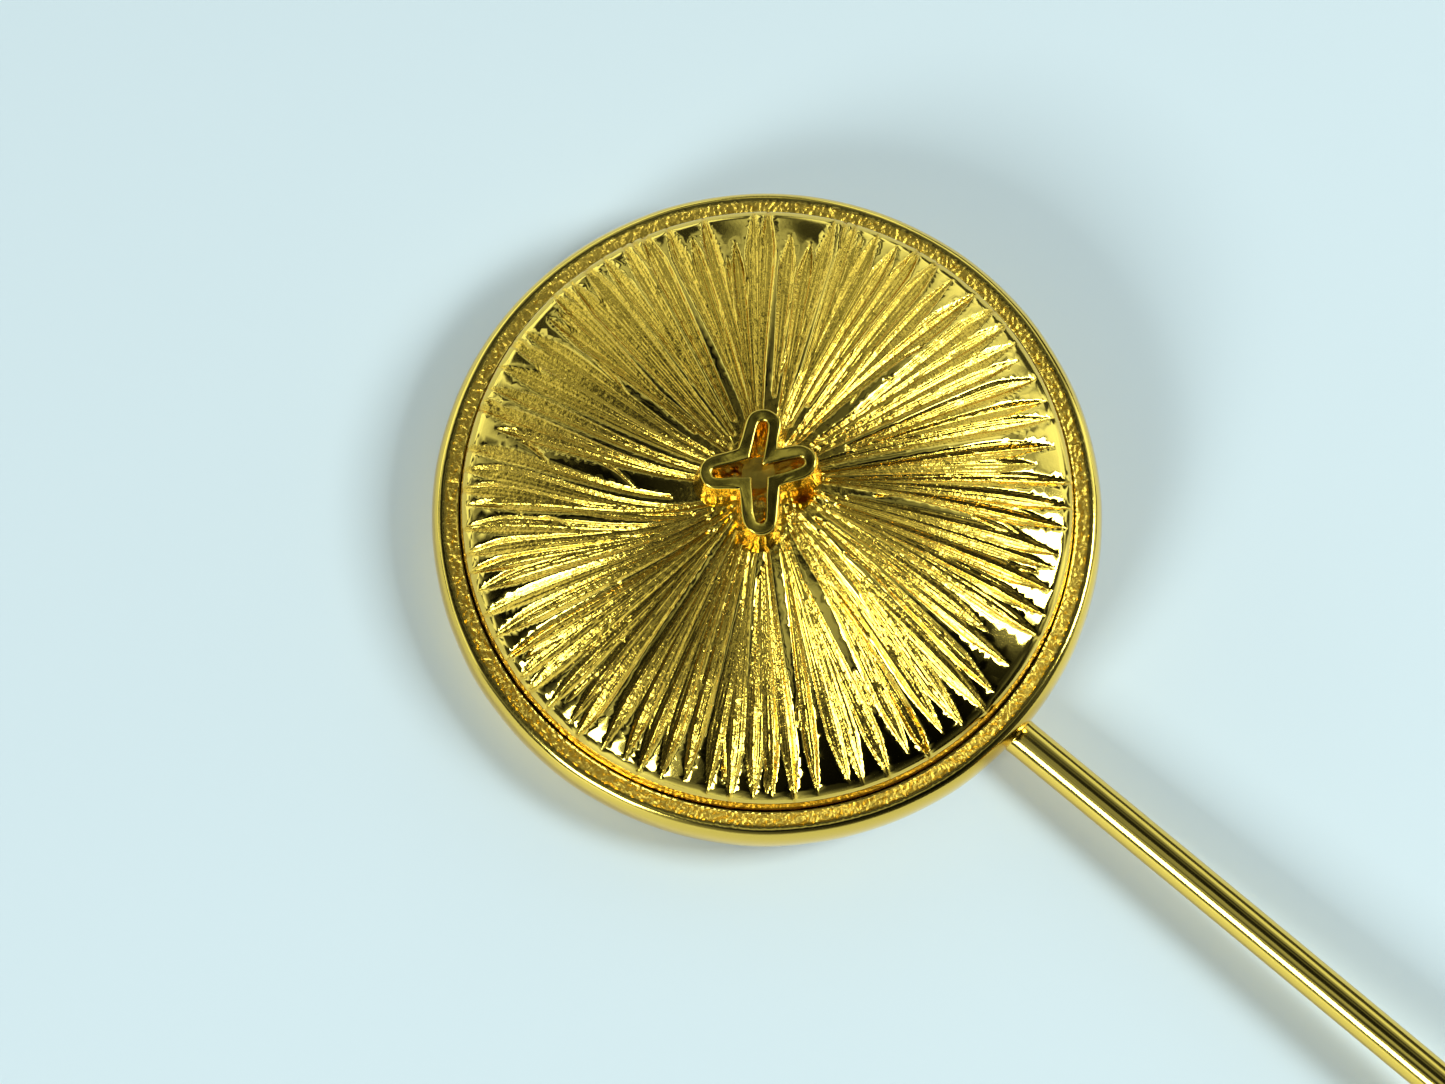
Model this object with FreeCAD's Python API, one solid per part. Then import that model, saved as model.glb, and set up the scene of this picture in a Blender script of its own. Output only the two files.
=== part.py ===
import FreeCAD, Part
import math
import os

# A stick pin: a domed sunburst head with a raised star, a wire stem, and a ball-clutch guard
# that covers the point. Millimetres.
#
# The stem's axis is the X axis and its point looks along +X. The head's face looks along +Z.
# The origin is on the stem's axis, where the round stem comes out from under the head's rim.

# ---------------------------------------------------------------- driving dimensions: head
head_radius = 10.5
head_x = -head_radius            # the head's centre
rim_width = 0.9                  # the ring's wall, measured along a radius
rim_height = 1.75
rim_foot = 0.45                  # how wide the ring's flat foot is
rim_bevel = 0.35                 # how far the crown's outer edge stands in from the widest point
sheet = 0.5                      # the gauge of the face plate and the back plate
ledge_height = 0.85              # the face plate's edge stands this far above the rim
ledge_width = 0.15
dome_rise = 2.3                  # from the face's edge to its crown

# ---------------------------------------------------------------- driving dimensions: star
star_offset = (-0.29, -0.12)     # the star sits a little off the head's centre
star_arms = ((49, 2.0), (124, 2.1), (226, 2.0), (312, 2.3))   # direction in degrees, length
star_root = 0.85                 # from the star's middle to the corner between two arms
star_tip = 0.5                   # half the width of an arm's end
star_wall = 0.38
star_wall_at_tip = 0.55          # share of the wall that comes off half an arm's end
star_wall_at_root = 1.2          # share of the wall that comes off the corner between two arms
star_height = 1.25               # above the crown of the face
star_lean = 0.86                 # the top's size as a share of the foot's
post_radius = 0.5
post_head_radius = 1.1
post_head_height = 0.35

# ---------------------------------------------------------------- driving dimensions: stem
stem_radius = 0.6
tail_half_height = 0.25          # the wire is hammered to a flat paddle under the head
tail_half_width = stem_radius ** 2 / tail_half_height
tail_round_off = 2.6             # length over which the round wire turns into the flat tail
tail_end = head_x - 4.5
pad_length = 10.0
pad_width = 4.2
pad_height = 0.45
solder_length = 9.2
solder_width = 3.7
solder_depth = 0.35
solder_taper = 0.86              # its lower width as a share of its upper width
grip_radius = 0.52               # the ground stretch that the clutch holds
grip_start = 35.2
grip_shoulder = 0.9
point_start = 42.2
point_end = 45.5
point_radius = 0.04

# ---------------------------------------------------------------- driving dimensions: guard
guard_x = 36.2                   # the face that looks at the head
barrel_radius = 2.4
barrel_wall = 0.4
barrel_length = 7.5
barrel_end_wall = 0.6
barrel_lip = 0.2                 # the edge rolled over the end plate
lip_overlap = 0.35               # how far the lip reaches in over the plate
barrel_edge = 0.25               # rounding of the barrel's outer corners
groove_depth = 0.12
groove_inset = 1.3               # from each end of the barrel to its groove
plate_height = 0.6
entry_radius = 0.68
funnel = 0.3                     # leads the point into the entry hole
ball_radius = 0.4
ball_count = 3
ball_gap = 0.01
ball_x = guard_x + 2.2           # the balls' ring when the clutch holds
wedge_angle = 12.0               # half-angle of the wedge sleeve's bore, in degrees
wedge_length = 2.9
cage_bore = 0.64
cage_radius = 1.1
cage_start = guard_x + 1.65
flange_radius = 1.85
flange_start = guard_x + 4.0
flange_height = 0.5
neck_play = 0.12                 # between the neck and the hole in the barrel's end wall
window_play = 0.04
spring_wire = 0.15               # radius of the wire
spring_radius = 1.55
spring_turns = 4.5
spring_gap = 0.03
knob_radius = 2.0
knob_gap = 0.1                   # between the barrel's end wall and the knob
knob_length = 4.2
knob_edge = 0.2
knob_round = 0.7
knurl_count = 24
knurl_radius = 0.16
knurl_start = 0.5
tip_gap = 0.05                   # between the point and the bottom of the knob's hole

# ---------------------------------------------------------------- worked out from those
back_z = tail_half_height + pad_height       # underside of the back plate
rim_top = back_z + rim_height
face_edge_z = rim_top + ledge_height
crown_z = face_edge_z + dome_rise
rim_bore = head_radius - rim_width
face_radius = rim_bore - ledge_width
dome_radius = (face_radius ** 2 + dome_rise ** 2) / (2 * dome_rise)
dome_centre_z = crown_z - dome_radius
star_x = head_x + star_offset[0]
star_y = star_offset[1]
post_top = crown_z + star_height / 2
barrel_bore = barrel_radius - barrel_wall
barrel_end = guard_x + barrel_length
knob_x = barrel_end + knob_gap
neck_end = point_end + tip_gap   # the neck fills the knob's hole down to its bottom


def outline(at, start, *steps):
    """A closed wire. at(a, b) places a point; a step is a point, or (point on an arc, its end)."""
    edges = []
    here = start
    for step in steps + (start,):
        if isinstance(step[0], tuple):
            via, there = step
            edges.append(Part.Arc(at(*here), at(*via), at(*there)).toShape())
        else:
            there = step
            edges.append(Part.LineSegment(at(*here), at(*there)).toShape())
        here = there
    return Part.Wire(edges)


def corner_arc(radius):
    """How far the middle of a quarter round stands in from both sides of the corner it replaces."""
    return radius * (1 - math.sqrt(0.5))


def turned_head(start, *steps):
    """A solid turned about the head's upright axis, from an outline of (radius, z)."""
    def at(radius, z):
        return FreeCAD.Vector(head_x + radius, 0, z)
    face = Part.Face(outline(at, start, *steps))
    return face.revolve(FreeCAD.Vector(head_x, 0, 0), FreeCAD.Vector(0, 0, 1), 360)


def turned_stem(start, *steps):
    """A solid turned about the stem's axis, from an outline of (x, radius)."""
    def at(x, radius):
        return FreeCAD.Vector(x, 0, radius)
    face = Part.Face(outline(at, start, *steps))
    return face.revolve(FreeCAD.Vector(0, 0, 0), FreeCAD.Vector(1, 0, 0), 360)


def upright_cylinder(radius, low, high, x, y=0.0):
    return Part.makeCylinder(radius, high - low, FreeCAD.Vector(x, y, low), FreeCAD.Vector(0, 0, 1))


def cylinder_along_x(radius, start, end):
    return Part.makeCylinder(radius, end - start, FreeCAD.Vector(start, 0, 0), FreeCAD.Vector(1, 0, 0))


def on_dome(angle, radius):
    """(distance from the head's axis, z) at an angle from the crown, on a sphere about the dome's centre."""
    return radius * math.sin(angle), dome_centre_z + radius * math.cos(angle)


# ---------------------------------------------------------------- the head

def face_plate():
    """A thin domed cup. Its skirt stands inside the ring, on the back plate, and ends in a ledge."""
    edge_angle = math.asin(face_radius / dome_radius)
    inner = dome_radius - sheet
    inner_edge = math.asin((rim_bore - sheet) / inner)
    foot_z = back_z + sheet
    cup = turned_head(
        on_dome(0, dome_radius),
        (on_dome(edge_angle / 2, dome_radius), on_dome(edge_angle, dome_radius)),
        (rim_bore, rim_top),
        (rim_bore, foot_z),
        (rim_bore - sheet, foot_z),
        on_dome(inner_edge, inner),
        (on_dome(inner_edge / 2, inner), on_dome(0, inner)),
    )
    return cup.cut(upright_cylinder(post_radius, foot_z, crown_z + 1, star_x, star_y))


def rim_ring():
    """A ring of heavy half-round wire with a flat band on its crown."""
    return turned_head(
        (rim_bore, back_z),
        (rim_bore + rim_foot, back_z),
        ((head_radius, back_z + rim_height / 2), (head_radius - rim_bevel, rim_top)),
        (rim_bore, rim_top),
    )


def back_plate():
    """A flat disc that closes the head from below."""
    return upright_cylinder(rim_bore, back_z, back_z + sheet, head_x)


def star_outline(z, scale, inset):
    """The star's four-armed outline at a height; inset moves it inwards all round."""
    points = []
    arms = len(star_arms)
    for i in range(arms):
        heading, length = star_arms[i]
        following = star_arms[(i + 1) % arms][0]
        if following < heading:
            following += 360
        along = FreeCAD.Vector(math.cos(math.radians(heading)), math.sin(math.radians(heading)), 0)
        across = FreeCAD.Vector(-along.y, along.x, 0)
        corner = math.radians((heading + following) / 2)
        half_tip = star_tip * scale - inset * star_wall_at_tip
        reach = length * scale - inset
        root = star_root * scale - inset * star_wall_at_root
        points.append(along * (reach - half_tip) - across * half_tip)
        points.append(along * reach)
        points.append(along * (reach - half_tip) + across * half_tip)
        points.append(FreeCAD.Vector(math.cos(corner), math.sin(corner), 0) * root)
    middle = FreeCAD.Vector(star_x, star_y, z)
    points = [middle + p for p in points]
    return Part.makePolygon(points + points[:1])


def star():
    """A strip folded into a hollow four-armed star that leans inwards as it rises from the face."""
    top = crown_z + star_height
    low = crown_z - sheet / 2
    walls = Part.makeLoft([star_outline(low, 1.0, 0), star_outline(top, star_lean, 0)], True, True)
    hollow = Part.makeLoft(
        [star_outline(low - 0.1, 1.0, star_wall), star_outline(top + 0.1, star_lean, star_wall)], True, True)
    inside_dome = Part.makeSphere(dome_radius, FreeCAD.Vector(head_x, 0, dome_centre_z))
    post = upright_cylinder(post_radius, low, post_top, star_x, star_y)
    return walls.cut(hollow).cut(inside_dome).cut(post)


def star_post():
    """A headed post, put up through the face plate from behind, that the star is soldered round."""
    inner_crown = crown_z - sheet
    shank = upright_cylinder(post_radius, inner_crown - post_head_height, post_top, star_x, star_y)
    head = upright_cylinder(post_head_radius, inner_crown - post_head_height, inner_crown, star_x, star_y)
    inside = Part.makeSphere(dome_radius - sheet, FreeCAD.Vector(head_x, 0, dome_centre_z))
    return shank.fuse(head.common(inside)).removeSplitter()


# ---------------------------------------------------------------- the stem and what holds it

def stem():
    """Round wire, hammered to a paddle under the head, ground thinner at the grip, and pointed."""
    wire = turned_stem(
        (tail_end, 0),
        (tail_end, tail_half_width),
        (-tail_round_off, tail_half_width),
        (0, stem_radius),
        (grip_start - grip_shoulder, stem_radius),
        (grip_start, grip_radius),
        (point_start, grip_radius),
        (point_end, point_radius),
        (point_end, 0),
    )
    room = stem_radius + 0.1

    def at(x, z):
        return FreeCAD.Vector(x, -tail_half_width - 1, z)
    hammered = outline(
        at,
        (tail_end - 1, -tail_half_height),
        (-tail_round_off, -tail_half_height),
        (0, -room),
        (point_end + 1, -room),
        (point_end + 1, room),
        (0, room),
        (-tail_round_off, tail_half_height),
        (tail_end - 1, tail_half_height),
    )
    slab = Part.Face(hammered).extrude(FreeCAD.Vector(0, 2 * tail_half_width + 2, 0))
    return wire.common(slab)


def stem_pad():
    """A flat pad with round ends on the back plate, under the tail."""
    reach = pad_length / 2 - pad_width / 2
    low = back_z - pad_height
    block = Part.makeBox(2 * reach, pad_width, pad_height, FreeCAD.Vector(head_x - reach, -pad_width / 2, low))
    ends = [upright_cylinder(pad_width / 2, low, back_z, head_x + side * reach) for side in (-1, 1)]
    return block.fuse(ends).removeSplitter()


def stem_solder(tail):
    """The solder that has run up both sides of the tail, wider against the pad than below."""
    top = back_z - pad_height
    half_top = solder_width / 2
    half_low = half_top * solder_taper
    start = head_x - solder_length / 2

    def at(y, z):
        return FreeCAD.Vector(start, y, z)
    section = outline(at, (-half_top, top), (half_top, top), (half_low, top - solder_depth),
                      (-half_low, top - solder_depth))
    return Part.Face(section).extrude(FreeCAD.Vector(solder_length, 0, 0)).cut(tail)


# ---------------------------------------------------------------- the guard

def wedge_bore(x):
    """Radius of the wedge sleeve's bore, which the balls just touch when the clutch holds."""
    slope = math.tan(math.radians(wedge_angle))
    centre = grip_radius + ball_gap + ball_radius
    at_balls = centre + (ball_radius + ball_gap) / math.cos(math.radians(wedge_angle))
    return at_balls + slope * (x - ball_x)


def guard_barrel():
    """A drawn cup: a wall at the far end with a hole for the neck, and a rolled lip at the entry."""
    neck_hole = cage_radius + neck_play
    arc = corner_arc(barrel_edge)
    first = guard_x + groove_inset
    second = barrel_end - groove_inset
    return turned_stem(
        (guard_x, barrel_bore - lip_overlap),
        (guard_x, barrel_radius - barrel_edge),
        ((guard_x + arc, barrel_radius - arc), (guard_x + barrel_edge, barrel_radius)),
        (first - groove_depth, barrel_radius),
        ((first, barrel_radius - groove_depth), (first + groove_depth, barrel_radius)),
        (second - groove_depth, barrel_radius),
        ((second, barrel_radius - groove_depth), (second + groove_depth, barrel_radius)),
        (barrel_end - barrel_edge, barrel_radius),
        ((barrel_end - arc, barrel_radius - arc), (barrel_end, barrel_radius - barrel_edge)),
        (barrel_end, neck_hole),
        (barrel_end - barrel_end_wall, neck_hole),
        (barrel_end - barrel_end_wall, barrel_bore),
        (guard_x + barrel_lip, barrel_bore),
        (guard_x + barrel_lip, barrel_bore - lip_overlap),
    )


def guard_end_plate():
    """The washer that closes the barrel, with a funnel in its hole to lead the point in."""
    start = guard_x + barrel_lip
    return turned_stem(
        (start, entry_radius + funnel),
        (start, barrel_bore),
        (start + plate_height, barrel_bore),
        (start + plate_height, entry_radius),
        (start + funnel, entry_radius),
    )


def wedge_sleeve():
    """A hard sleeve whose bore narrows towards the head, so that a pull drives the balls inwards."""
    start = guard_x + barrel_lip + plate_height
    end = start + wedge_length
    return turned_stem((start, wedge_bore(start)), (start, barrel_bore), (end, barrel_bore), (end, wedge_bore(end)))


def ball_angles():
    return [90 + i * 360 / ball_count for i in range(ball_count)]


def ball_centre(angle, radius):
    turn = math.radians(angle)
    return FreeCAD.Vector(ball_x, radius * math.cos(turn), radius * math.sin(turn))


def ball_cage():
    """The plunger: a tube with a window for each ball, a flange for the spring, and a long neck."""
    tube = turned_stem(
        (cage_start, cage_bore),
        (cage_start, cage_radius),
        (flange_start, cage_radius),
        (flange_start, flange_radius),
        (flange_start + flange_height, flange_radius),
        (flange_start + flange_height, cage_radius),
        (neck_end, cage_radius),
        (neck_end, cage_bore),
    )
    for angle in ball_angles():
        outwards = ball_centre(angle, 1.0) - ball_centre(angle, 0.0)
        window = Part.makeCylinder(ball_radius + window_play, cage_radius + 0.5, ball_centre(angle, 0.0), outwards)
        tube = tube.cut(window)
    return tube


def clutch_ball(angle):
    return Part.makeSphere(ball_radius, ball_centre(angle, grip_radius + ball_gap + ball_radius))


def release_spring():
    """An open coil between the cage's flange and the barrel's end wall, of eight-sided wire."""
    start = flange_start + flange_height + spring_wire + spring_gap
    end = barrel_end - barrel_end_wall - spring_wire - spring_gap
    helix = Part.makeHelix((end - start) / spring_turns, end - start, spring_radius)
    corners = []
    for i in range(9):
        turn = math.radians(22.5 + 45 * i)
        corners.append(FreeCAD.Vector(spring_radius + spring_wire * math.cos(turn), 0, spring_wire * math.sin(turn)))
    coil = Part.Wire(helix).makePipeShell([Part.makePolygon(corners)], True, True)
    coil.rotate(FreeCAD.Vector(0, 0, 0), FreeCAD.Vector(0, 1, 0), 90)
    coil.translate(FreeCAD.Vector(start, 0, 0))
    return coil


def pull_knob():
    """A knurled knob pressed on the neck; the point ends just short of the bottom of its hole."""
    end = knob_x + knob_length
    arc = corner_arc(knob_round)
    knob = turned_stem(
        (knob_x, cage_radius),
        (knob_x, knob_radius - knob_edge),
        (knob_x + knob_edge, knob_radius),
        (end - knob_round, knob_radius),
        ((end - arc, knob_radius - arc), (end, knob_radius - knob_round)),
        (end, 0),
        (neck_end, 0),
        (neck_end, cage_radius),
    )
    cutters = []
    span = knob_length - knurl_start - knob_round
    for i in range(knurl_count):
        turn = 2 * math.pi * i / knurl_count
        base = FreeCAD.Vector(knob_x + knurl_start, knob_radius * math.cos(turn), knob_radius * math.sin(turn))
        cutters.append(Part.makeCylinder(knurl_radius, span, base, FreeCAD.Vector(1, 0, 0)))
    return knob.cut(Part.makeCompound(cutters))


def build():
    """Every piece by its name."""
    the_stem = stem()
    pieces = {
        "face_plate": face_plate(),
        "rim_ring": rim_ring(),
        "back_plate": back_plate(),
        "star": star(),
        "star_post": star_post(),
        "stem": the_stem,
        "stem_pad": stem_pad(),
        "stem_solder": stem_solder(the_stem),
        "guard_barrel": guard_barrel(),
        "guard_end_plate": guard_end_plate(),
        "wedge_sleeve": wedge_sleeve(),
        "ball_cage": ball_cage(),
        "release_spring": release_spring(),
        "pull_knob": pull_knob(),
    }
    for i, angle in enumerate(ball_angles(), 1):
        pieces[f"clutch_ball_{i}"] = clutch_ball(angle)
    return pieces


os.makedirs("parts", exist_ok=True)
for name, shape in build().items():
    box = shape.BoundBox
    print(f"{name:18} solids {len(shape.Solids)} valid {shape.isValid()} volume {shape.Volume:8.3f} mm3"
          f"  x {box.XMin:7.2f} {box.XMax:7.2f}  y {box.YMin:6.2f} {box.YMax:6.2f}  z {box.ZMin:6.2f} {box.ZMax:6.2f}")
    shape.exportStep(f"parts/{name}.step")
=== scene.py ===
import bpy
import bmesh
import math
import random
import numpy as np
from mathutils import Matrix, Vector


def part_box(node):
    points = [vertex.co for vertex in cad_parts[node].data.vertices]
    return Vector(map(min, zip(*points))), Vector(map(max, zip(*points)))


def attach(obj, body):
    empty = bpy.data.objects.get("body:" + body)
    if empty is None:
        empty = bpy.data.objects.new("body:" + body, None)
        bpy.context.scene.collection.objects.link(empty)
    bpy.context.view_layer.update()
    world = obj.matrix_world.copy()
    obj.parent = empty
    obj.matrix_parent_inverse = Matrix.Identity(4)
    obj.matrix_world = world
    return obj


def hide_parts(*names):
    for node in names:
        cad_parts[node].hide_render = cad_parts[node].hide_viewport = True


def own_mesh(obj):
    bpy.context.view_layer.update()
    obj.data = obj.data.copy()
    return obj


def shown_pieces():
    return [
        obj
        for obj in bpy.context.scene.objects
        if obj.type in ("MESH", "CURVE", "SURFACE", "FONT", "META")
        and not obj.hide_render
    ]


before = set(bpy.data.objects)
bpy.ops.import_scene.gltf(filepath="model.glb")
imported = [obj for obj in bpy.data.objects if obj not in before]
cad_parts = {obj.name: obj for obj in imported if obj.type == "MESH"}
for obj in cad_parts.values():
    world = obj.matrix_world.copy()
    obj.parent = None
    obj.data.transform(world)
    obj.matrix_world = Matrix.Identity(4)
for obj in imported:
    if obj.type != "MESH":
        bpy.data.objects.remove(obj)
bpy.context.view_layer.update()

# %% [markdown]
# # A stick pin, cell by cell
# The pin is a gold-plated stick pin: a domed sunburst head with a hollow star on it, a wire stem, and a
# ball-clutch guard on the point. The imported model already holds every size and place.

MM = 0.001
random.seed(21)

rim_low, rim_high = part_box("rim_ring")
face_low, face_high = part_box("face_plate")
stem_low, stem_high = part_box("stem")
head_x = (rim_low.x + rim_high.x) / 2
head_radius = (rim_high.x - rim_low.x) / 2
rim_bore = (face_high.x - face_low.x) / 2
back_z, rim_top, crown_z = rim_low.z, rim_high.z, face_high.z
print(f"head {2 * head_radius / MM:.2f} mm wide, rim bore {2 * rim_bore / MM:.2f} mm, "
      f"crown {crown_z / MM:.2f} mm up")

# %% [markdown]
# ## The camera
# A close, slightly oblique look at the face, from a little below it, with the stem running off to the
# lower right. A long lens keeps the wire nearly the same width all along. The view's right and up are
# turned against the pin's own X axis by the slant that the stem should have, so the pin itself can stay
# straight in its own frame.

# %% The camera's three directions, then the camera
STEM_SLANT = math.radians(40.5)
LEAN = math.radians(14)
VIEW_WIDTH = 45.3 * MM         # what the view takes in from side to side, at the head
AIM_UP, AIM_LEFT, AIM_DOWN = 0.9 * MM, 1.385 * MM, 0.87 * MM
LENS, SENSOR = 100, 36
right = Vector((math.cos(STEM_SLANT), math.sin(STEM_SLANT), 0))
up_flat = Vector((-math.sin(STEM_SLANT), math.cos(STEM_SLANT), 0))
towards = Vector((0, 0, 1)) * math.cos(LEAN) - up_flat * math.sin(LEAN)
up = towards.cross(right)
aim = Vector((head_x, 0, back_z + AIM_UP)) - right * AIM_LEFT - up * AIM_DOWN

camera = bpy.data.objects.new("camera", bpy.data.cameras.new("camera"))
bpy.context.scene.collection.objects.link(camera)
camera.data.lens, camera.data.sensor_width = LENS, SENSOR
camera.data.clip_start, camera.data.clip_end = 1 * MM, 5
camera.location = aim + towards * VIEW_WIDTH * LENS / SENSOR
camera.rotation_mode = "QUATERNION"
camera.rotation_quaternion = Matrix((right, up, towards)).transposed().to_quaternion()
bpy.context.scene.camera = camera
print(f"camera {(camera.location - aim).length * 1000:.0f} mm from the pin")

# %% [markdown]
# ## Colour and node helpers
# Colours are picked as hex values on a screen, so they are sRGB, and a shader wants linear light. One
# function turns the first into the second. Another adds a node, sets it and links it in one line.

# %% Colour and node helpers
def linear(hex_colour):
    """A screen colour such as #E8C060 as linear light, with alpha."""
    channels = [int(hex_colour[i:i + 2], 16) / 255 for i in (1, 3, 5)]
    return (*[c / 12.92 if c <= 0.04045 else ((c + 0.055) / 1.055) ** 2.4 for c in channels], 1)


def add(tree, kind, inputs=(), **settings):
    """Add a node; inputs maps a socket's name or number to a value, or to an output to link from."""
    node = tree.nodes.new(kind)
    for name, value in settings.items():
        setattr(node, name, value)
    for socket, value in dict(inputs).items():
        if isinstance(value, bpy.types.NodeSocket):
            tree.links.new(value, node.inputs[socket])
        else:
            node.inputs[socket].default_value = value
    return node


def metal(name, colour, roughness):
    """A bare metal: its material, its tree and its shader, with everything else still to be linked."""
    material = bpy.data.materials.new(name)
    material.use_nodes = True
    shader = material.node_tree.nodes["Principled BSDF"]
    shader.inputs["Base Color"].default_value = linear(colour)
    shader.inputs["Metallic"].default_value = 1
    shader.inputs["Roughness"].default_value = roughness
    return material, material.node_tree, shader

# %% [markdown]
# ## The finishes
# All the gold is one plating, a few microns of yellow gold over brass, so its colour is the same
# everywhere and only the surface under it differs: polished wire, a cast and graved face, satin backs.
# The cast skin is granular at about a twentieth of a millimetre, and polishing has left the high lands
# smooth. The face carries an attribute that is 0 on a polished land and 1 in a cut. It makes the cuts
# rough, and it also paints the cuts, the grainy middle of the face and the rim's rough band a deeper
# gold, which is painted shade.

# %% Cast gold plate, for the face and the rim
# the second gold is painted shade: a darker gold laid into the cuts and the rough areas
GOLD, PAINTED_SHADE_GOLD = "#F3CB5C", "#EDBE4A"
LAND_BITE, GRAIN_DEPTH = 0.03, 0.03 * MM      # polishing leaves the lands almost no grain


def cast_gold(name, grain_mm, polish, bite, dulling=0.12):
    """Gold plate on a casting: rough where the attribute marks a cut or a rough band, and painted a deeper
    gold there as painted shade.
    """
    material, tree, shader = metal(name, GOLD, polish)
    worked_and_shaded = add(tree, "ShaderNodeAttribute", attribute_name="worked_and_shaded")
    place = add(tree, "ShaderNodeTexCoord")
    grain = add(tree, "ShaderNodeTexNoise",
                {"Vector": place.outputs["Object"], "Scale": 1 / (grain_mm * MM), "Detail": 3})
    # painted shade: the darker gold is mixed in where the attribute marks a cut or rough grain
    colour = add(tree, "ShaderNodeMix",
                 {"Factor": worked_and_shaded.outputs["Fac"], "A": linear(GOLD), "B": linear(PAINTED_SHADE_GOLD)},
                 data_type="RGBA")
    rough = add(tree, "ShaderNodeMapRange",
                {"Value": worked_and_shaded.outputs["Fac"], "To Min": polish, "To Max": polish + dulling})
    strength = add(tree, "ShaderNodeMapRange",
                   {"Value": worked_and_shaded.outputs["Fac"], "To Min": LAND_BITE, "To Max": bite})
    bump = add(tree, "ShaderNodeBump",
               {"Height": grain.outputs["Fac"], "Strength": strength.outputs["Result"],
                "Distance": GRAIN_DEPTH})
    tree.links.new(colour.outputs["Result"], shader.inputs["Base Color"])
    tree.links.new(rough.outputs["Result"], shader.inputs["Roughness"])
    tree.links.new(bump.outputs["Normal"], shader.inputs["Normal"])
    return material


face_gold = cast_gold("cast_and_graved_gold_plate", 0.1, 0.1, 0.5)
rim_gold = cast_gold("rolled_rim_gold_plate", 0.07, 0.13, 1.0, 0.25)

# %% Polished, satin and soldered gold plate
def plated(name, colour, roughness, lump_mm, depth_mm, stretch=(1, 1, 1)):
    """Gold plate on drawn or turned metal: a faint waviness of one size, stretched along the work."""
    material, tree, shader = metal(name, colour, roughness)
    place = add(tree, "ShaderNodeTexCoord")
    along = add(tree, "ShaderNodeMapping", {"Vector": place.outputs["Object"], "Scale": stretch})
    lumps = add(tree, "ShaderNodeTexNoise",
                {"Vector": along.outputs["Vector"], "Scale": 1 / (lump_mm * MM), "Detail": 2})
    bump = add(tree, "ShaderNodeBump",
               {"Height": lumps.outputs["Fac"], "Strength": 0.5, "Distance": depth_mm * MM})
    rough = add(tree, "ShaderNodeMapRange",
                {"Value": lumps.outputs["Fac"], "To Min": roughness * 0.7, "To Max": roughness * 1.3})
    tree.links.new(rough.outputs["Result"], shader.inputs["Roughness"])
    tree.links.new(bump.outputs["Normal"], shader.inputs["Normal"])
    return material


wire_gold = plated("polished_gold_plated_wire", GOLD, 0.12, 0.5, 0.01, (0.35, 1, 1))
turned_gold = plated("turned_gold_plate", GOLD, 0.14, 0.12, 0.004, (6, 1, 1))
satin_gold = plated("satin_gold_plate", "#E6BB4C", 0.34, 0.12, 0.01)
star_gold = plated("hand_formed_gold_plate", "#DDB84A", 0.2, 0.3, 0.02)
solder_gold = plated("flowed_solder_under_gold", "#E2BE62", 0.25, 0.6, 0.03)
cage_brass = plated("turned_brass", "#C9A55A", 0.3, 0.1, 0.004, (6, 1, 1))
sleeve_steel = plated("turned_steel", "#A9A9A8", 0.3, 0.1, 0.004, (6, 1, 1))
ball_steel = plated("polished_bearing_steel", "#C9CACC", 0.06, 0.3, 0.001)
spring_steel = plated("drawn_spring_steel", "#8E8E90", 0.28, 0.08, 0.003)
print(len(bpy.data.materials), "finishes")

# %% [markdown]
# ## Turning and finishing a piece
# Most of the pin was turned, rolled or stamped round an axis, so most pieces begin as an outline. The
# outline is carried round by wrapping a flat grid: its rows follow the outline and its columns go round.
# Spin would do the same. A grid was taken because one rule then places every point, about either axis.
# Poles and seam are merged after.

# %% Turning and finishing a piece
def turned(points, steps, place):
    """Carry an outline of (radius, height) round; place(radius, height, angle) gives a point."""
    bm = bmesh.new()
    rows = len(points) - 1
    bmesh.ops.create_grid(bm, x_segments=steps, y_segments=rows, size=1)
    for v in bm.verts:
        radius, height = points[round((v.co.y + 1) / 2 * rows)]
        v.co = place(radius, height, math.pi * (v.co.x + 1))
    bmesh.ops.remove_doubles(bm, verts=bm.verts[:], dist=1e-4 * MM)
    bmesh.ops.recalc_face_normals(bm, faces=bm.faces[:])
    return bm


def about_head(points, steps):
    return turned(points, steps, lambda r, z, a: (head_x + r * math.cos(a), r * math.sin(a), z))


def about_stem(points, steps):
    return turned([(r, x) for x, r in points], steps, lambda r, x, a: (x, r * math.cos(a), r * math.sin(a)))


def eased(bm, width, segments=4, sharper_than=35):
    """Round off every edge that is sharper than an angle."""
    limit = math.radians(sharper_than)
    edges = [e for e in bm.edges if e.is_manifold and e.calc_face_angle(0) > limit]
    bmesh.ops.bevel(bm, geom=edges, offset=width, offset_type="OFFSET", segments=segments, profile=0.5,
                    affect="EDGES", material=-1, clamp_overlap=True)
    return bm


def piece(name, bm, body, slot, material, *nodes):
    """Make a bmesh an object that rides on a body, has a finish and stands for CAD nodes."""
    mesh = bpy.data.meshes.new(name)
    bm.to_mesh(mesh)
    bm.free()
    mesh.shade_smooth()
    made = bpy.data.objects.new(name, mesh)
    bpy.context.scene.collection.objects.link(made)
    mesh.materials.append(material)
    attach(made, body)
    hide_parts(*nodes)
    triangles = sum(len(p.vertices) - 2 for p in mesh.polygons)
    print(f"{name}: {triangles} triangles, {['%.2f' % (d * 1000) for d in made.dimensions]} mm")
    return made


def coordinates(mesh):
    """Every point of a mesh, one to a row."""
    flat = np.empty(3 * len(mesh.vertices))
    mesh.vertices.foreach_get("co", flat)
    return flat.reshape(-1, 3)


def move_points(mesh, points):
    mesh.vertices.foreach_set("co", points.ravel())


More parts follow.
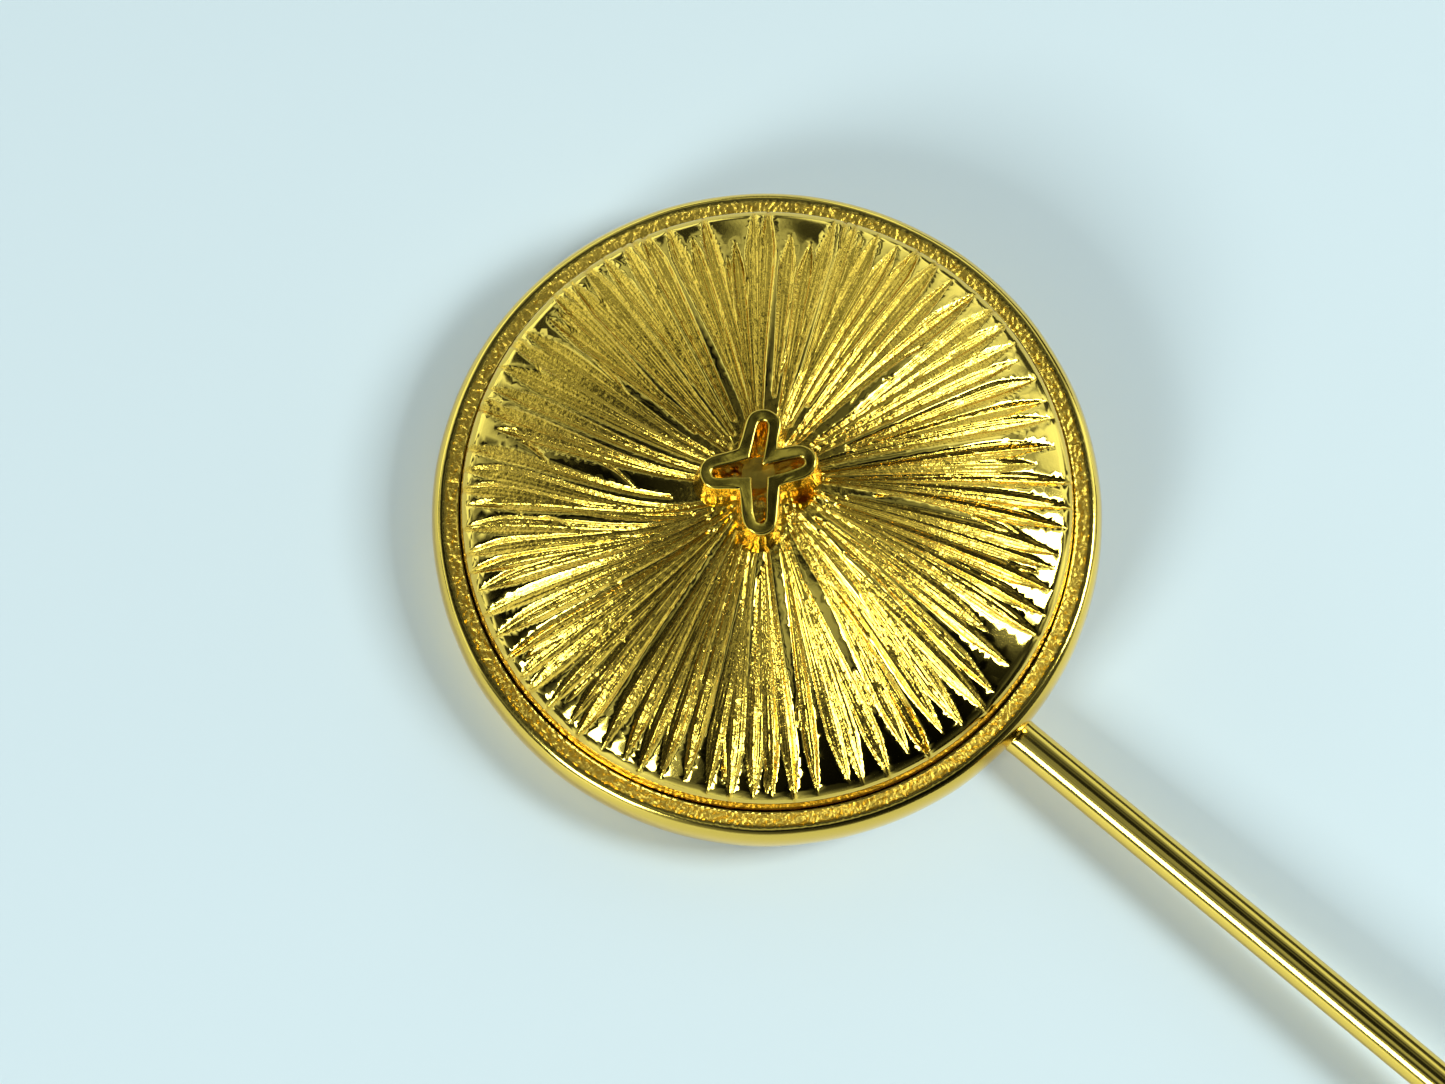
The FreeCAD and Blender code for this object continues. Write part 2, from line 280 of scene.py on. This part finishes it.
def mark_worked_and_shaded(mesh, amounts):
    """Store how much each point was cut or roughened, for the cast gold to read as roughness and as painted
    shade.
    """
    mesh.attributes.new("worked_and_shaded", "FLOAT", "POINT").data.foreach_set("value", amounts)


def bake_modifiers(made):
    """Swap an object's mesh for the one its modifiers make."""
    bpy.context.view_layer.update()
    final = bpy.data.meshes.new_from_object(made.evaluated_get(bpy.context.evaluated_depsgraph_get()))
    made.modifiers.clear()
    made.data = final
    return final


def grain(x, y, size):
    """Smooth random heights from -1 to 1 over a plane, in lumps of about this size."""
    across, down = x / size, y / size
    column, row = np.floor(across), np.floor(down)
    a, b = across - column, down - row
    a, b = a * a * (3 - 2 * a), b * b * (3 - 2 * b)

    def corner(i, j):
        return 2 * np.modf(np.abs(np.sin((column + i) * 12.9898 + (row + j) * 78.233) * 43758.5453))[0] - 1
    return ((corner(0, 0) * (1 - a) + corner(1, 0) * a) * (1 - b)
            + (corner(0, 1) * (1 - a) + corner(1, 1) * a) * b)

# %% [markdown]
# ## The face: where the cuts run
# The sunburst is some eighty leaf-shaped gouges, cut by hand into the wax of a domed disc: each starts in
# a sharp tip at the edge, widens for a third of its length, and narrows again where its neighbours crowd
# it. They could be modelled one by one, but a graver's cut is easier to describe as a depth: across the
# cut it is a shallow trough, along it a leaf. The face takes the deepest cut at each point, which leaves
# sharp ridges where two cuts meet and a polished triangle of land between two tips.

# %% The cuts, each with its own small irregularities
CUTS = 84
FACE_EDGE = rim_bore - 0.15 * MM
burst_x, burst_y = head_x - 0.17 * MM, -0.03 * MM


def a_cut(angle, outer, inner, width, depth, sway):
    return {"angle": angle, "outer": outer, "inner": inner, "width": width, "depth": depth, "sway": sway,
            "skew": random.uniform(-0.35, 0.35), "lines": random.uniform(0, 6.3)}


cuts = []
for i in range(CUTS):
    angle = 2 * math.pi * (i + random.uniform(-0.22, 0.22)) / CUTS
    swoop = math.exp(-((angle - math.radians(220)) / 0.6) ** 2)
    short = random.random() < 0.14
    cuts.append(a_cut(
        angle,
        FACE_EDGE - (random.uniform(0.6, 1.4) if short else random.uniform(-0.35, 0.25)) * MM,
        random.uniform(1.1, 3.0) * MM,
        random.uniform(0.24, 0.36) * MM,
        random.uniform(0.11, 0.2) * MM,
        random.uniform(-0.09, 0.09) + 0.42 * swoop))
    if random.random() < 0.6:
        start = random.uniform(0.35, 0.8) * FACE_EDGE
        cuts.append(a_cut(
            angle + 2 * math.pi * random.uniform(0.35, 0.65) / CUTS,
            start + random.uniform(1.2, 2.6) * MM, start,
            random.uniform(0.08, 0.14) * MM, random.uniform(0.08, 0.15) * MM,
            random.uniform(-0.1, 0.1) + 0.3 * swoop))
cuts.append(a_cut(math.radians(-17.5), rim_bore + 0.1 * MM, 5.5 * MM, 0.22 * MM, 0.3 * MM, 0))
print(len(cuts), "cuts")


def carved(x, y):
    """How deep the face is cut at points of the plane, and how much it is cut or grainy there, from 0 to 1;
    the second also sets the painted shade.
    """
    away, heading = np.hypot(x - burst_x, y - burst_y), np.arctan2(y - burst_y, x - burst_x)
    deepest, worked_and_shaded = np.zeros_like(x), np.zeros_like(x)
    for cut in cuts:
        beside = (away > cut["inner"]) & (away < cut["outer"]) & (np.cos(heading - cut["angle"]) > 0.7)
        near = np.flatnonzero(beside)
        from_tip = (cut["outer"] - away[near]) / (cut["outer"] - cut["inner"])
        line = cut["angle"] + cut["sway"] * from_tip ** 2
        aside = (heading[near] - line + math.pi) % (2 * math.pi) - math.pi
        leaf = np.minimum(from_tip / 0.2, 1) ** 0.8 * (1 - 0.72 * np.clip((from_tip - 0.3) / 0.7, 0, 1))
        u = aside * away[near] / (cut["width"] * leaf + 1e-9)
        trough = (1 - np.abs(u) ** 1.7) * (1 + cut["skew"] * u)
        scratches = 0.12 * np.sin(7 * u + cut["lines"]) + 0.1 * np.sin(16 * u + 2 * cut["lines"])
        along = np.minimum(from_tip / 0.15, 1) ** 0.6 * (1 - 0.5 * from_tip)
        down = cut["depth"] * along * (trough + scratches)
        inside = np.abs(u) < 1
        deepest[near] = np.maximum(deepest[near], inside * np.maximum(down, 0))
        worked_and_shaded[near] = np.maximum(worked_and_shaded[near], inside * np.minimum(6 * (1 - np.abs(u)), 1))
    middle = np.clip((3.2 * MM - away) / (1.6 * MM), 0, 1)
    return deepest, np.maximum(worked_and_shaded, middle)

# %% [markdown]
# ## The face: the domed cup
# The cup is turned from its outline: out from the crown, down over the ledge and the skirt, and back up
# the inside. Its top is a fine net, and the cuts push the net's points down. A net fine enough for the
# tips is far too fine for the middle and the skirt, so Decimate then takes away what carries no shape.

# %% The domed cup
LEDGE_UP, SHEET, ROLL_OVER = 0.85 * MM, 0.5 * MM, 0.32 * MM
DOME_RISE = crown_z - rim_top - LEDGE_UP
dome_radius = (FACE_EDGE ** 2 + DOME_RISE ** 2) / (2 * DOME_RISE)
FACE_STEPS, FACE_RINGS = ((1440, 170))


def dome(r):
    """Height of the uncut face; its last third of a millimetre rolls over towards the ledge."""
    over = np.clip((r - (FACE_EDGE - ROLL_OVER)) / ROLL_OVER, 0, 1)
    ball = np.sqrt(np.maximum(dome_radius ** 2 - r ** 2, 0))
    return crown_z - dome_radius + ball - 0.12 * MM * over ** 2


top = [(r, float(dome(r))) for r in np.linspace(0, FACE_EDGE, FACE_RINGS)]
skirt = rim_bore - 0.03 * MM
ledge = [(rim_bore - 0.1 * MM, rim_top + 0.5 * MM), (skirt, rim_top), (skirt, face_low.z)]
inside = [(rim_bore - SHEET, face_low.z)]
inside += [(r, float(dome(r)) - SHEET) for r in np.linspace(rim_bore - SHEET, 0, 8)]
cup = piece("sunburst_face", about_head(top + ledge + inside, FACE_STEPS), "pin", "cast_gold_plate",
            face_gold, "face_plate")

# %% The carving, the grain of the casting, and the pit and chip beside the star
points = coordinates(cup.data)
x, y, z = points.T
from_axis = np.hypot(x - head_x, y)
skin = dome(np.minimum(from_axis, FACE_EDGE)) - 1e-6
on_top = z > np.where(from_axis < FACE_EDGE + 1e-7, skin, rim_top + 0.2 * MM)
depth, worked_and_shaded = carved(x, y)
granular = 0.008 * MM * grain(x, y, 0.08 * MM) * (0.1 + 0.9 * worked_and_shaded)
granular += 0.008 * MM * grain(x + 1, y, 0.9 * MM)
centre = np.clip((2.9 * MM - from_axis) / (1.5 * MM), 0, 1)
granular += 0.03 * MM * centre * grain(x, y + 1, 0.13 * MM)
# each blemish: how far right and up of the burst's middle, its height (a pit's is negative), its radius
for across, upwards, rise, radius in ((1.15, -0.5, -0.35, 0.22), (1.6, -0.62, 0.22, 0.2)):
    spot = Vector((burst_x, burst_y, 0)) + right * across * MM + up_flat * upwards * MM
    granular += rise * MM * np.exp(-((x - spot.x) ** 2 + (y - spot.y) ** 2) / (radius * MM) ** 2)
points[:, 2] -= np.where(on_top, depth - granular, 0)
move_points(cup.data, points)
print(f"deepest cut {depth.max() / MM:.2f} mm")

# %% Thinning the net, and marking what was cut, for roughness and painted shade
# The ratio is found from the top's net alone. The skirt and the inside come on top of that, so the
# whole piece ends near 201,000 triangles, a little over 200,000. The whole piece ends near 201,000
# triangles, a little over the 200,000 that one piece should stay under.
AIMED_TRIANGLES = 190000
thin = cup.modifiers.new("thin", "DECIMATE")
thin.ratio = min(1, AIMED_TRIANGLES / (2 * FACE_STEPS * FACE_RINGS))
final = bake_modifiers(cup)
points = coordinates(final)
mark_worked_and_shaded(final, carved(points[:, 0], points[:, 1])[1])
print(sum(len(p.vertices) - 2 for p in final.polygons), "triangles after thinning")

# %% [markdown]
# ## The rim
# A ring of heavy half-round wire, bent round the cup and butted: a flat band on its crown was left rough
# and hatched, and its outer wall was polished. The band's grain is real relief, because it catches the
# light at the very edge of the pin. The butt joint shows as a small step across the band.

# %% The rim ring with its rough band
RIM_STEPS = 1500
BAND_OUT = rim_bore + 0.43 * MM
half = (rim_top - back_z) / 2
roll = [(BAND_OUT + (head_radius - BAND_OUT) * math.cos(a) ** 0.8, back_z + half + half * math.sin(a))
        for a in np.linspace(math.radians(84), math.radians(-84), 18)]
band = [(r, rim_top - 0.02 * MM) for r in np.linspace(rim_bore + 0.05 * MM, BAND_OUT, 12)]
foot = [(BAND_OUT, back_z), (rim_bore, back_z)]
lip = [(rim_bore, rim_top - 0.1 * MM), (rim_bore + 0.02 * MM, rim_top)]
rim = piece("rolled_rim", about_head(band + roll + foot + lip + band[:1], RIM_STEPS), "pin",
            "polished_gold_plate", rim_gold, "rim_ring")

# %% The band's hatching, the outer wall's waves and the butt seam
SEAM = math.radians(52.8)
points = coordinates(rim.data)
x, y, z = points.T
from_axis, heading = np.hypot(x - head_x, y), np.arctan2(y, x - head_x)
from_side = np.minimum(from_axis - rim_bore - 0.03 * MM, BAND_OUT + 0.03 * MM - from_axis)
in_band = np.clip(from_side / (0.05 * MM), 0, 1)
in_band *= z > rim_top - 0.1 * MM
hatch = np.sin(heading * 330 + 9 * grain(x, y, 0.5 * MM) + (from_axis - rim_bore) / (0.1 * MM))
wave = 0.012 * MM * grain(x, y, 1.4 * MM) * (from_axis > BAND_OUT)
seam = np.exp(-((heading - SEAM) * head_radius / (0.04 * MM)) ** 2)
relief = 0.03 * grain(x, y, 0.09 * MM) + 0.012 * hatch - 0.02 + 0.05 * seam
points[:, 2] += in_band * relief * MM
outwards = 1 + wave / np.maximum(from_axis, 1e-9)
points[:, 0] = head_x + (x - head_x) * outwards
points[:, 1] = y * outwards
move_points(rim.data, points)
# marking the band as rough also paints it a deeper gold, as painted shade
mark_worked_and_shaded(rim.data, in_band)
print(f"band {(BAND_OUT - rim_bore) / MM:.2f} mm wide")

# %% [markdown]
# ## The star
# A strip of plate folded into a hollow four-armed star, leaning in as it rises. The outline is drawn once
# at the foot, lifted ring by ring towards the lip, and given its wall by Solidify, as the real strip has
# one thickness all the way. A narrow bevel keeps the strip's edges from melting away when one level of
# subdivision rounds its folds, and a little noise takes the machine out of it.

# %% The star's outline
star_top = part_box("star")[1].z
post_low, post_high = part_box("star_post")
star_x, star_y = (post_low.x + post_high.x) / 2, (post_low.y + post_high.y) / 2
ARMS = ((49, 2.0), (124, 2.1), (226, 2.0), (312, 2.3))      # direction in degrees, length in mm
WALL, LIFTS = 0.4 * MM, 6


def star_line(share):
    """The star's outline when it has risen this share of its height; it draws in as it rises."""
    half = (0.75 - 0.2 * share) * MM
    root = (0.98 - 0.14 * share) * MM
    points = []
    for i, (arm, length) in enumerate(ARMS):
        following = ARMS[(i + 1) % len(ARMS)][0] + (360 if i == len(ARMS) - 1 else 0)
        along = Vector((math.cos(math.radians(arm)), math.sin(math.radians(arm)), 0))
        across = Vector((-along.y, along.x, 0))
        corner = math.radians((arm + following) / 2)
        reach = length * (1.02 - 0.12 * share) * MM
        for a in np.linspace(-math.pi / 2, math.pi / 2, 7):
            points.append(along * (reach - half + half * math.cos(a)) + across * half * math.sin(a))
        points.append(Vector((math.cos(corner), math.sin(corner), 0)) * root)
    return points

# %% The folded star
bm = bmesh.new()
foot_z = crown_z - 0.25 * MM
lines = []
for lift in range(LIFTS + 1):
    middle = Vector((star_x, star_y, foot_z + (star_top - foot_z) * lift / LIFTS))
    ring = [bm.verts.new(middle + p) for p in star_line(lift / LIFTS)]
    lines.append([bm.edges.new(pair) for pair in zip(ring, ring[1:] + ring[:1])])
for below, above in zip(lines, lines[1:]):
    bmesh.ops.bridge_loops(bm, edges=below + above)
bmesh.ops.recalc_face_normals(bm, faces=bm.faces[:])
star = piece("folded_star", bm, "pin", "satin_gold_plate", star_gold, "star")
wall = star.modifiers.new("wall", "SOLIDIFY")
wall.thickness, wall.offset, wall.use_even_offset = WALL, -1, True
rounded = star.modifiers.new("rounded", "BEVEL")
rounded.width, rounded.segments = 0.09 * MM, 3
rounded.limit_method, rounded.angle_limit = "ANGLE", math.radians(50)
soft = star.modifiers.new("soft", "SUBSURF")
soft.levels = soft.render_levels = 1
final = bake_modifiers(star)
points = coordinates(final)
x, y, z = points.T
points[:, 2] += 0.07 * MM * grain(x, y, 0.6 * MM) * np.clip((z - crown_z) / (0.8 * MM), 0, 1)
points[:, 0] += 0.03 * MM * grain(y, z, 0.35 * MM)
points[:, 1] += 0.03 * MM * grain(x, z, 0.35 * MM)
move_points(final, points)
print(f"star up to {points[:, 2].max() / MM:.2f} mm")

# %% [markdown]
# ## The stem
# One drawn wire: hammered flat under the head, round for the rest, ground a little thinner where the
# clutch grips, and pointed. It is turned as a straight round wire, then its tail is pressed flat, and the
# whole is let wander by a hair, because drawn wire is never quite straight.

# %% The stem
TAIL_ROUND_OFF = 2.6 * MM      # length over which the round wire turns into the flat tail
wire, grip = 0.6 * MM, 0.52 * MM
tail_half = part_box("stem_solder")[1].z
tail_wide = wire ** 2 / tail_half
grip_start, point_start = 35.2 * MM, 42.2 * MM
shaft = [(x, wire) for x in np.linspace(stem_low.x + 0.25 * MM, grip_start - 0.9 * MM, 200)]
end = [(stem_low.x, 0), (stem_low.x, wire * 0.6), (stem_low.x + 0.08 * MM, wire * 0.88)]
tip = [(grip_start, grip), (point_start, grip), (point_start + 0.5 * MM, grip * 0.9),
       (stem_high.x - 0.08 * MM, 0.05 * MM), (stem_high.x, 0)]
stem = piece("wire_stem", about_stem(end + shaft + tip, 56), "pin", "polished_gold_plate", wire_gold, "stem")
points = coordinates(stem.data)
x, y, z = points.T
flat = np.clip(-x / TAIL_ROUND_OFF, 0, 1)
flat = flat * flat * (3 - 2 * flat)
wander = 0.012 * MM * np.sin(x / (5.3 * MM)) * (x < grip_start)
hammered = 1 - 0.04 * flat * np.sin(x / (0.6 * MM))
points[:, 1] = y * (1 + flat * (tail_wide / wire - 1)) + wander
points[:, 2] = z * (1 + flat * (tail_half / wire - 1)) * hammered
move_points(stem.data, points)

# %% [markdown]
# ## The back
# The back is plain: a satin disc let into the rim, a pad with round ends, and solder drawn up both sides
# of the tail. The solder is a loaf of liquid metal frozen in place, so it is pulled out of a flat grid.

# %% The back plate
low, high = (corner.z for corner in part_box("back_plate"))
plate = about_head([(0, low), (rim_bore, low), (rim_bore, high), (0, high)], 180)
piece("satin_back", eased(plate, 0.08 * MM), "pin", "satin_gold_plate", satin_gold, "back_plate")

# %% The solder
solder_low, solder_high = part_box("stem_solder")
bm = bmesh.new()
bmesh.ops.create_grid(bm, x_segments=70, y_segments=28, size=0.5)
size, middle = solder_high - solder_low, (solder_high + solder_low) / 2
for v in bm.verts:
    u, w = 2 * v.co.x, 2 * v.co.y
    loaf = (1 - abs(w) ** 2.4) * (1 - abs(u) ** 9)
    ripple = 1 + 0.06 * math.sin(5 * u + 2 * w) + 0.04 * math.sin(13 * u)
    edge = 1 + 0.05 * math.sin(7 * u) * (abs(w) > 0.9)
    v.co = (middle.x + u * size.x / 2, middle.y + w * edge * size.y / 2.1,
            solder_high.z - 0.02 * MM - loaf * ripple * size.z * 0.93)
rise = bmesh.ops.extrude_edge_only(bm, edges=[e for e in bm.edges if e.is_boundary])["geom"]
for v in [g for g in rise if isinstance(g, bmesh.types.BMVert)]:
    v.co.z = solder_high.z
bmesh.ops.holes_fill(bm, edges=[e for e in bm.edges if e.is_boundary], sides=0)
bmesh.ops.recalc_face_normals(bm, faces=bm.faces[:])
piece("solder_bead", bm, "pin", "solder", solder_gold, "stem_solder")

# %% [markdown]
# ## The guard
# A drawn barrel with two turned grooves, a washer in its mouth, and a knurled knob. All are turned about
# the stem's axis. The edges are eased by a bevel, and the knurl is pressed in by pushing points inwards.

# %% The barrel
BORE, NECK_HOLE, END_WALL = 2.0 * MM, 1.22 * MM, 0.6 * MM
LIP, LIP_REACH = 0.2 * MM, 0.35 * MM                  # the edge rolled over the end plate
GROOVE, GROOVE_INSET = 0.12 * MM, 1.3 * MM
guard_low, guard_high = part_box("guard_barrel")
start, end_x, outer = guard_low.x, guard_high.x, guard_high.y
walls = [(start, BORE - LIP_REACH), (start, outer)]
for at in (start + GROOVE_INSET, end_x - GROOVE_INSET):
    walls += [(at - GROOVE, outer), (at, outer - GROOVE), (at + GROOVE, outer)]
walls += [(end_x, outer), (end_x, NECK_HOLE), (end_x - END_WALL, NECK_HOLE), (end_x - END_WALL, BORE)]
walls += [(start + LIP, BORE), (start + LIP, BORE - LIP_REACH), (start, BORE - LIP_REACH)]
shell = eased(about_stem(walls, 128), 0.09 * MM)
piece("guard_shell", shell, "guard", "polished_gold_plate", turned_gold, "guard_barrel")

# %% The end plate
ENTRY, FUNNEL = 0.68 * MM, 0.3 * MM                   # the hole, and the funnel that leads into it
near, far = (corner.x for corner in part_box("guard_end_plate"))
washer = [(near, ENTRY + FUNNEL), (near, BORE), (far, BORE), (far, ENTRY)]
washer += [(near + FUNNEL, ENTRY), (near, ENTRY + FUNNEL)]
washer = eased(about_stem(washer, 96), 0.04 * MM)
piece("entry_washer", washer, "guard", "satin_gold_plate", satin_gold, "guard_end_plate")

# %% The knob
KNOB_EDGE, KNOB_ROUND, NECK = 0.2 * MM, 0.7 * MM, 1.1 * MM
KNURLS, KNURL_DEPTH = 24, 0.15 * MM
knob_low, knob_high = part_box("pull_knob")
side, socket = 2.0 * MM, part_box("ball_cage")[1].x
round_x = knob_high.x - KNOB_ROUND
steps_along = [(x, side) for x in np.linspace(knob_low.x + KNOB_EDGE, round_x, 24)]
nose = [(round_x + KNOB_ROUND * math.sin(a), side - KNOB_ROUND + KNOB_ROUND * math.cos(a))
        for a in np.linspace(0.15, math.pi / 2, 9)]
knob_line = [(socket, 0), (socket, NECK), (knob_low.x, NECK), (knob_low.x, side - KNOB_EDGE),
             *steps_along, *nose, (knob_high.x, 0)]
blank = about_stem(knob_line, 288)
knob = piece("knurled_knob", blank, "plunger", "polished_gold_plate", turned_gold, "pull_knob")
points = coordinates(knob.data)
x, y, z = points.T
out = np.hypot(y, z)
span = np.clip(np.minimum(x - knob_low.x - 0.45 * MM, knob_high.x - 0.65 * MM - x) / (0.12 * MM), 0, 1)
teeth = np.maximum(np.cos(KNURLS * np.arctan2(z, y)), 0) ** 0.8
push = 1 - KNURL_DEPTH * span * teeth * (out > side - 0.05 * MM) / np.maximum(out, 1e-9)
points[:, 1:] *= push[:, None]
move_points(knob.data, points)

# %% [markdown]
# ## Inside the guard
# Three bearing balls, a cage, a wedge sleeve and a coil spring. The cage and the sleeve are right as they
# come from the CAD and only need their metal. The spring is a small circle swept round a helix.

# %% The balls
for i in (1, 2, 3):
    low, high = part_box(f"clutch_ball_{i}")
    bm = bmesh.new()
    bmesh.ops.create_icosphere(bm, subdivisions=4, radius=(high.x - low.x) / 2)
    bmesh.ops.translate(bm, verts=bm.verts[:], vec=(low + high) / 2)
    piece(f"bearing_ball_{i}", bm, f"ball_{i}", "ball_steel", ball_steel, f"clutch_ball_{i}")

# %% The spring
SPRING_TURNS, SPRING_WIRE, COIL_RADIUS = 4.5, 0.15 * MM, 1.55 * MM
coil_low, coil_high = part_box("release_spring")
steps = 150
pitch = (coil_high.x - coil_low.x - 2 * SPRING_WIRE) / steps
bm = bmesh.new()
loop = bmesh.ops.create_circle(bm, cap_ends=True, segments=14, radius=SPRING_WIRE)["verts"]
for v in loop:
    v.co = Vector((coil_low.x + SPRING_WIRE + v.co.x, 0, COIL_RADIUS + v.co.y))
bmesh.ops.spin(bm, geom=bm.verts[:] + bm.edges[:] + bm.faces[:], cent=(0, 0, 0), axis=(1, 0, 0),
               dvec=(pitch, 0, 0), angle=2 * math.pi * SPRING_TURNS, steps=steps)
bmesh.ops.recalc_face_normals(bm, faces=bm.faces[:])
spring = piece("coil_spring", bm, "guard", "spring_steel", spring_steel, "release_spring")
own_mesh(spring)

# %% The CAD nodes that only need a finish
for node, material in (("stem_pad", satin_gold), ("star_post", satin_gold), ("wedge_sleeve", sleeve_steel),
                       ("ball_cage", cage_brass)):
    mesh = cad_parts[node].data
    mesh.materials.clear()
    mesh.materials.append(material)
    print(node, "as", material.name)

# %% [markdown]
# ## The floor and the light
# The pin lies on a pale sheet. Three things touch it: the guard, the tail's end and one side of the rim,
# so the sheet is tilted against the pin's own axes, and is moved up until it just meets the lowest point.
# Two soft boxes, one to the right and one low on the left, give the two bright patches on the dome, and a
# sky that is darker overhead keeps the gold deep.

# %% The floor
guard_rest = Vector((guard_low.x, 0, guard_low.z))
tail_rest = Vector((stem_low.x, 0, -tail_half))
rim_rest = Vector((head_x, -BAND_OUT, back_z))
normal = (rim_rest - tail_rest).cross(guard_rest - tail_rest).normalized()
normal = normal if normal.z > 0 else -normal
bpy.context.view_layer.update()
shown = [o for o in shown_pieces() if o.type == "MESH" and not o.hide_render]
lowest = min(normal.dot(v.co) for o in shown for v in o.data.vertices)
bm = bmesh.new()
bmesh.ops.create_grid(bm, x_segments=1, y_segments=1, size=0.6)
spin_to = Vector((0, 0, 1)).rotation_difference(normal).to_matrix()
bmesh.ops.rotate(bm, verts=bm.verts[:], cent=(0, 0, 0), matrix=spin_to)
bmesh.ops.translate(bm, verts=bm.verts[:], vec=normal * lowest)
mesh = bpy.data.meshes.new("floor")
bm.to_mesh(mesh)
floor = bpy.data.objects.new("floor", mesh)
bpy.context.scene.collection.objects.link(floor)
paper = bpy.data.materials.new("pale_card")
paper.use_nodes = True
card = paper.node_tree.nodes["Principled BSDF"]
card.inputs["Base Color"].default_value = linear("#E6E8EA")
card.inputs["Roughness"].default_value = 0.6
mesh.materials.append(paper)
print(f"floor tilted {math.degrees(normal.angle(Vector((0, 0, 1)))):.1f} degrees, from {len(shown)} pieces")

# %% The lights
def softbox(name, heading, height, distance, width, depth, power, colour="#FFFFFF"):
    """An area light that looks at the head: heading from the view's right, height above the face."""
    a, e = math.radians(heading), math.radians(height)
    level = right * math.cos(a) + up_flat * math.sin(a)
    direction = level * math.cos(e) + Vector((0, 0, math.sin(e)))
    light = bpy.data.lights.new(name, "AREA")
    light.shape, light.size, light.size_y = "RECTANGLE", width, depth
    light.energy, light.color = power, linear(colour)[:3]
    lamp = bpy.data.objects.new(name, light)
    bpy.context.scene.collection.objects.link(lamp)
    lamp.location = Vector((head_x, 0, rim_top)) + direction * distance
    lamp.rotation_mode = "QUATERNION"
    lamp.rotation_quaternion = direction.to_track_quat("Z", "Y")


softbox("key_right", 4, 38, 0.4, 0.13, 0.13, 1.2, "#DDF2F5")
softbox("key_left", 230, 38, 0.4, 0.13, 0.13, 1.2, "#DDF2F5")
print(len(bpy.data.lights), "lights")

# %% The sky, brighter towards the sides
# each stop: how far the direction agrees with the camera's, from 0 to 1, and the grey there
SKY_STOPS = ((0.0, 1.2), (0.3, 1.0), (0.5, 0.22), (0.85, 0.13), (0.97, 0.4))
world = bpy.data.worlds.new("studio")
bpy.context.scene.world = world
world.use_nodes = True
tree = world.node_tree
sky = tree.nodes["Background"]
direction = add(tree, "ShaderNodeTexCoord")
height = add(tree, "ShaderNodeVectorMath", {0: direction.outputs["Generated"], 1: towards},
             operation="DOT_PRODUCT")
shade = add(tree, "ShaderNodeValToRGB", {"Fac": height.outputs["Value"]})
while len(shade.color_ramp.elements) < len(SKY_STOPS):
    shade.color_ramp.elements.new(0.5)
for element, (position, grey) in zip(shade.color_ramp.elements, SKY_STOPS):
    element.position, element.color = position, (grey * 0.8, grey, grey * 1.02, 1)

# %% The room that the gold reflects: soft lumps, and five patches that darken or brighten it
# each patch: heading from the view's right, degrees from the camera, half-width in degrees, factor
PATCHES = ((135, 28, 24, 0.08), (318, 56, 62, 0.04), (180, 44, 20, 0.1),
           (95, 60, 45, 0.35), (35, 50, 30, 1.6))
room = add(tree, "ShaderNodeTexNoise", {"Vector": direction.outputs["Generated"], "Scale": 2.2, "Detail": 1})
objects = add(tree, "ShaderNodeMapRange",
              {"Value": room.outputs["Fac"], "From Min": 0.44, "From Max": 0.54,
               "To Min": 0.05, "To Max": 1.4},
              interpolation_type="SMOOTHSTEP")
strength = objects.outputs["Result"]
for heading, from_top, size, factor in PATCHES:
    a, b = math.radians(heading), math.radians(from_top)
    centre = (right * math.cos(a) + up * math.sin(a)) * math.sin(b) + towards * math.cos(b)
    towards_it = add(tree, "ShaderNodeVectorMath", {0: direction.outputs["Generated"], 1: centre},
                     operation="DOT_PRODUCT")
    rim_of_it = math.cos(math.radians(size))
    patch = add(tree, "ShaderNodeMapRange",
                {"Value": towards_it.outputs["Value"], "From Min": rim_of_it, "From Max": 1,
                 "To Min": 1, "To Max": factor},
                interpolation_type="SMOOTHSTEP")
    product = add(tree, "ShaderNodeMath", {0: strength, 1: patch.outputs["Result"]}, operation="MULTIPLY")
    strength = product.outputs[0]
tree.links.new(shade.outputs["Color"], sky.inputs["Color"])
tree.links.new(strength, sky.inputs["Strength"])
bpy.context.scene.view_settings.view_transform = "Standard"
print(len(PATCHES), "patches in the sky")
